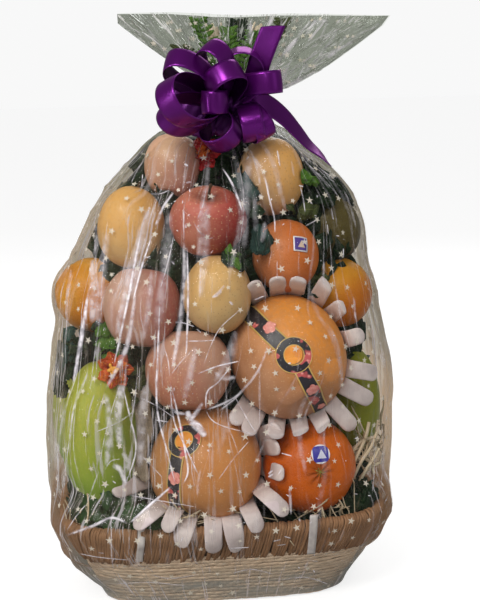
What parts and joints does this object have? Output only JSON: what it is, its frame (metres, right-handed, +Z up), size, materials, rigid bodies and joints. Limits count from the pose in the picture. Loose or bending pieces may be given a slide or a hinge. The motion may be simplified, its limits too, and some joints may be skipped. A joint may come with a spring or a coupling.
{
  "type": "fruit gift basket",
  "caption": "Flared woven basket heaped with fresh fruit in a clear film bag, gathered at the top and tied with a purple ribbon bow under an open fan of film.",
  "frame": {"origin": "middle of the basket's flat underside, on the ground", "axes": "+Z up, +X along the basket's long side to the right seen from the front, the bow faces -Y"},
  "size_m": [0.3534, 0.2525, 0.5652],
  "materials": {
    "woven_strands": "matt woven seagrass",
    "wrapped_strands": "matt wrapped seagrass",
    "clear_film": "clear crinkled film with white stars",
    "satin_ribbon": "glossy purple ribbon",
    "leaf_green": "green artificial leaf",
    "blossom_cream": "cream artificial blossom"
  },
  "bodies": {
    "root": {"basket_tub": "woven_strands", "basket_border": "wrapped_strands", "film_bag": "clear_film", "film_flare_front": "clear_film", "film_flare_back": "clear_film", "bow": "satin_ribbon", "leaf_top_1": "leaf_green", "leaf_top_2": "leaf_green", "leaf_top_3": "leaf_green", "leaf_top_4": "leaf_green", "leaf_top_5": "leaf_green", "leaf_top_6": "leaf_green", "blossom_top_1": "blossom_cream", "blossom_top_2": "blossom_cream"}
  },
  "joints": []
}
